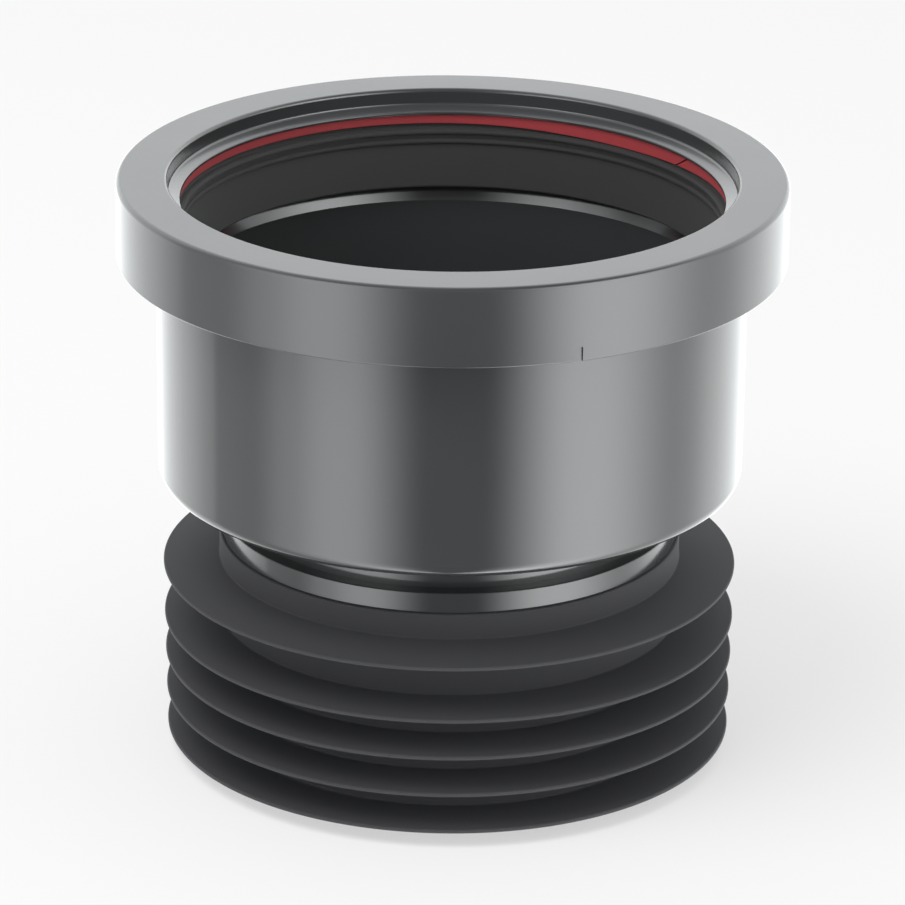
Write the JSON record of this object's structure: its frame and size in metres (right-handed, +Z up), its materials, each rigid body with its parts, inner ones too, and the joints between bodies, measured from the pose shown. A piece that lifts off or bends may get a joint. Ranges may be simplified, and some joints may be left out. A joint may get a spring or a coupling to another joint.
{
  "type": "drain connector",
  "caption": "Push-fit drain connector: a pipe socket with a deep lip-seal rim above a rubber finned spigot that presses into an older drain.",
  "frame": {"origin": "centre of the lower face of the foot of the finned seal, on the axis of the pipe", "axes": "+Z up along the pipe axis, from the spigot to the mouth of the socket; -Y is the front that the picture shows; +X to the right"},
  "size_m": [0.138, 0.138, 0.124],
  "materials": {
    "grey_polypropylene": "moulded, satin gloss",
    "rim_polypropylene": "moulded, satin gloss",
    "red_plastic": "moulded, satin",
    "seal_rubber": "smooth, satin",
    "fin_rubber": "moulded, matte"
  },
  "bodies": {
    "root": {"socket_body": "grey_polypropylene", "retaining_cap": "rim_polypropylene", "support_ring": "red_plastic", "lip_seal": "seal_rubber", "finned_seal": "fin_rubber"}
  },
  "joints": []
}
